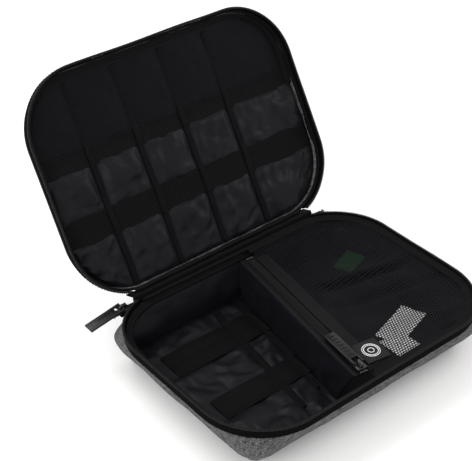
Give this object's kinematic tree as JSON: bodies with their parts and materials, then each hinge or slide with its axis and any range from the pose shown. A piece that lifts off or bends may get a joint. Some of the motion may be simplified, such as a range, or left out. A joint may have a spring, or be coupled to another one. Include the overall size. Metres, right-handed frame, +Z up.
{
  "type": "cable organizer pouch",
  "caption": "Soft clamshell organizer case with a zipped rim, elastic loops inside the lid and base, and a zipped mesh pocket; it stands open.",
  "frame": {"origin": "on the surface that the base stands on, under the middle of its zipped rim", "axes": "+X to the right along the hinge, +Y towards the hinge at the back, +Z up; the lid stands open at 121.5 degrees"},
  "size_m": [0.2451, 0.273, 0.1897],
  "materials": {
    "melange_fabric": "heathered grey polyester canvas",
    "zip_tape": "black woven zip tape",
    "zip_coil": "black nylon coil",
    "seam_binding": "black seam binding tape",
    "foam": "closed-cell foam, hidden",
    "lining_nylon": "charcoal nylon lining with a soft sheen",
    "ribbed_elastic": "black ribbed elastic",
    "strip_webbing": "black woven strip",
    "black_mesh": "black knitted mesh",
    "pocket_tape": "black zip tape and hem",
    "slider_metal": "black enamelled zinc",
    "puller_polymer": "ribbed black puller",
    "bright_metal": "zip stop",
    "white_label": "white satin label",
    "woven_label_cloth": "black woven label with a plain pale motif",
    "green_tag": "small dark green tag"
  },
  "bodies": {
    "base": {"base_bottom_panel": "melange_fabric", "base_floor_foam": "foam", "base_lining": "lining_nylon", "base_seam_binding": "seam_binding", "base_side_foam": "foam", "base_side_wall": "melange_fabric", "base_zip_coil": "zip_coil", "base_zip_tape": "zip_tape", "care_label": "white_label", "care_label_tab": "white_label", "floor_divider_strip": "strip_webbing", "floor_edge_strip": "strip_webbing", "floor_loop_panel": "lining_nylon", "front_floor_elastic": "ribbed_elastic", "inner_tag": "green_tag", "left_end_stop": "bright_metal", "left_zip_end": "zip_coil", "pocket_divider_wall": "lining_nylon", "pocket_edge_binding": "seam_binding", "pocket_front_stop": "bright_metal", "pocket_mesh_coil": "zip_coil", "pocket_mesh_hem": "pocket_tape", "pocket_mesh_panel": "black_mesh", "pocket_mesh_tape": "pocket_tape", "pocket_rear_stop": "bright_metal", "pocket_wall_coil": "zip_coil", "pocket_wall_tape": "pocket_tape", "rear_floor_elastic": "ribbed_elastic", "right_end_stop": "bright_metal", "right_zip_end": "zip_coil", "spine_base_strip": "seam_binding", "spine_fold": "seam_binding", "woven_label": "woven_label_cloth"},
    "lid": {"lid_divider_strip_1": "strip_webbing", "lid_divider_strip_2": "strip_webbing", "lid_divider_strip_3": "strip_webbing", "lid_divider_strip_4": "strip_webbing", "lid_foam_board": "foam", "lid_lining_panel": "lining_nylon", "lid_loop_elastic": "ribbed_elastic", "lid_mesh_binding": "seam_binding", "lid_mesh_hem": "ribbed_elastic", "lid_mesh_panel": "black_mesh", "lid_seam_binding": "seam_binding", "lid_side_lining": "seam_binding", "lid_side_wall": "melange_fabric", "lid_top_panel": "melange_fabric", "lid_zip_coil": "zip_coil", "lid_zip_tape": "zip_tape", "spine_lid_strip": "seam_binding"},
    "left_slider": {"left_main_slider": "slider_metal", "left_main_slider_bail": "slider_metal"},
    "left_puller": {"left_main_puller": "puller_polymer"},
    "pocket_slider_body": {"pocket_slider": "slider_metal", "pocket_slider_bail": "slider_metal"},
    "pocket_puller_body": {"pocket_puller": "puller_polymer"}
  },
  "joints": [
    {"name": "lid_hinge", "type": "hinge", "parent": "base", "child": "lid", "pos_m": [0, 0.0857, 0.044], "axis": [-1, 0, 0], "range_deg": [-121.5, 58.5]},
    {"name": "pocket_slider_travel", "type": "slide", "parent": "base", "child": "pocket_slider_body", "axis": [0.1478, 0.989, 0], "range_m": [0, 0.108]},
    {"name": "pocket_puller_pivot", "type": "hinge", "parent": "pocket_slider_body", "child": "pocket_puller_body", "pos_m": [-0.00887, -0.06607, 0.0434], "axis": [0.989, -0.1478, 0], "range_deg": [0, 120]},
    {"name": "left_slider_travel", "type": "slide", "parent": "base", "child": "left_slider", "axis": [-1, 0, 0], "range_m": [0, 0.004]},
    {"name": "left_puller_pivot", "type": "hinge", "parent": "left_slider", "child": "left_puller", "pos_m": [-0.0972, 0.0843, 0.0419], "axis": [0, 1, 0], "range_deg": [0, 130]}
  ]
}
